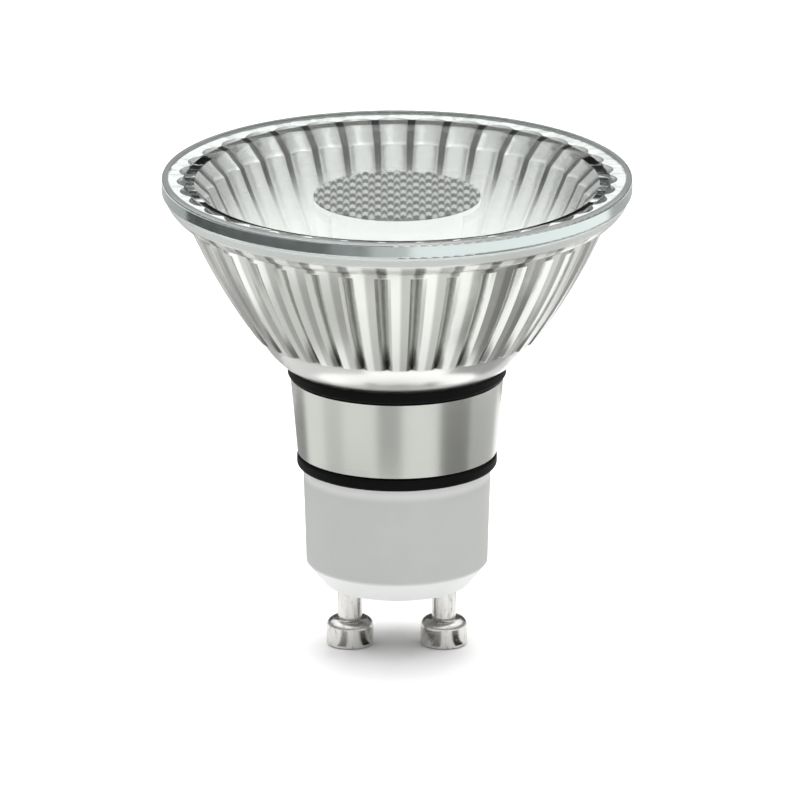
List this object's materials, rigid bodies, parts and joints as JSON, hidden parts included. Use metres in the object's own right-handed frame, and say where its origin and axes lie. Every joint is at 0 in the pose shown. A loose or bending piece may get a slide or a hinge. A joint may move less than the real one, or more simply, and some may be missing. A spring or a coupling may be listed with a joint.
{
  "type": "spotlight bulb",
  "caption": "Reflector spotlight bulb: fluted cup under a clear lens, faceted collimator inside, metal heat-sink collar between dark gaskets, white twist-lock base with contact pins.",
  "frame": {"origin": "on the bulb's axis, at the level of the contact pins' ends", "axes": "+Z along the axis from the pins to the lens, X through both pins, and -Y towards the camera"},
  "size_m": [0.05, 0.05, 0.052],
  "materials": {
    "lens_clear": "clear, polished",
    "optic_clear": "clear moulding, pyramids across its top",
    "cup_glass": "pressed glass, silvered inside, glossy",
    "gasket_rubber": "satin black",
    "collar_metal": "fine-turned, satin",
    "base_white": "satin white",
    "pin_plating": "nickel plated, polished",
    "board_mask": "white solder mask on an aluminium core",
    "emitter": "yellow phosphor on a white package",
    "screw_steel": "zinc plated",
    "laminate": "green glass-fibre laminate",
    "can_sleeve": "shrunk sleeve",
    "ferrite": "sintered, matt",
    "copper_wire": "enamelled copper",
    "chip_black": "moulded epoxy",
    "film_case": "yellow moulded case",
    "lead_red": "insulated wire, red",
    "lead_black": "insulated wire, black"
  },
  "bodies": {
    "root": {"front_lens": "lens_clear", "collimator": "optic_clear", "reflector_cup": "cup_glass", "upper_gasket": "gasket_rubber", "heat_sink_collar": "collar_metal", "lower_gasket": "gasket_rubber", "base_shell": "base_white", "contact_pin_left": "pin_plating", "contact_pin_right": "pin_plating", "led_board": "board_mask", "led_1": "emitter", "led_2": "emitter", "led_3": "emitter", "led_4": "emitter", "led_5": "emitter", "led_6": "emitter", "board_screws": "screw_steel", "driver_board": "laminate", "smoothing_capacitor": "can_sleeve", "choke_core": "ferrite", "choke_winding": "copper_wire", "bridge_rectifier": "chip_black", "driver_chip": "chip_black", "film_capacitor": "film_case", "led_lead_positive": "lead_red", "led_lead_negative": "lead_black"}
  },
  "joints": []
}
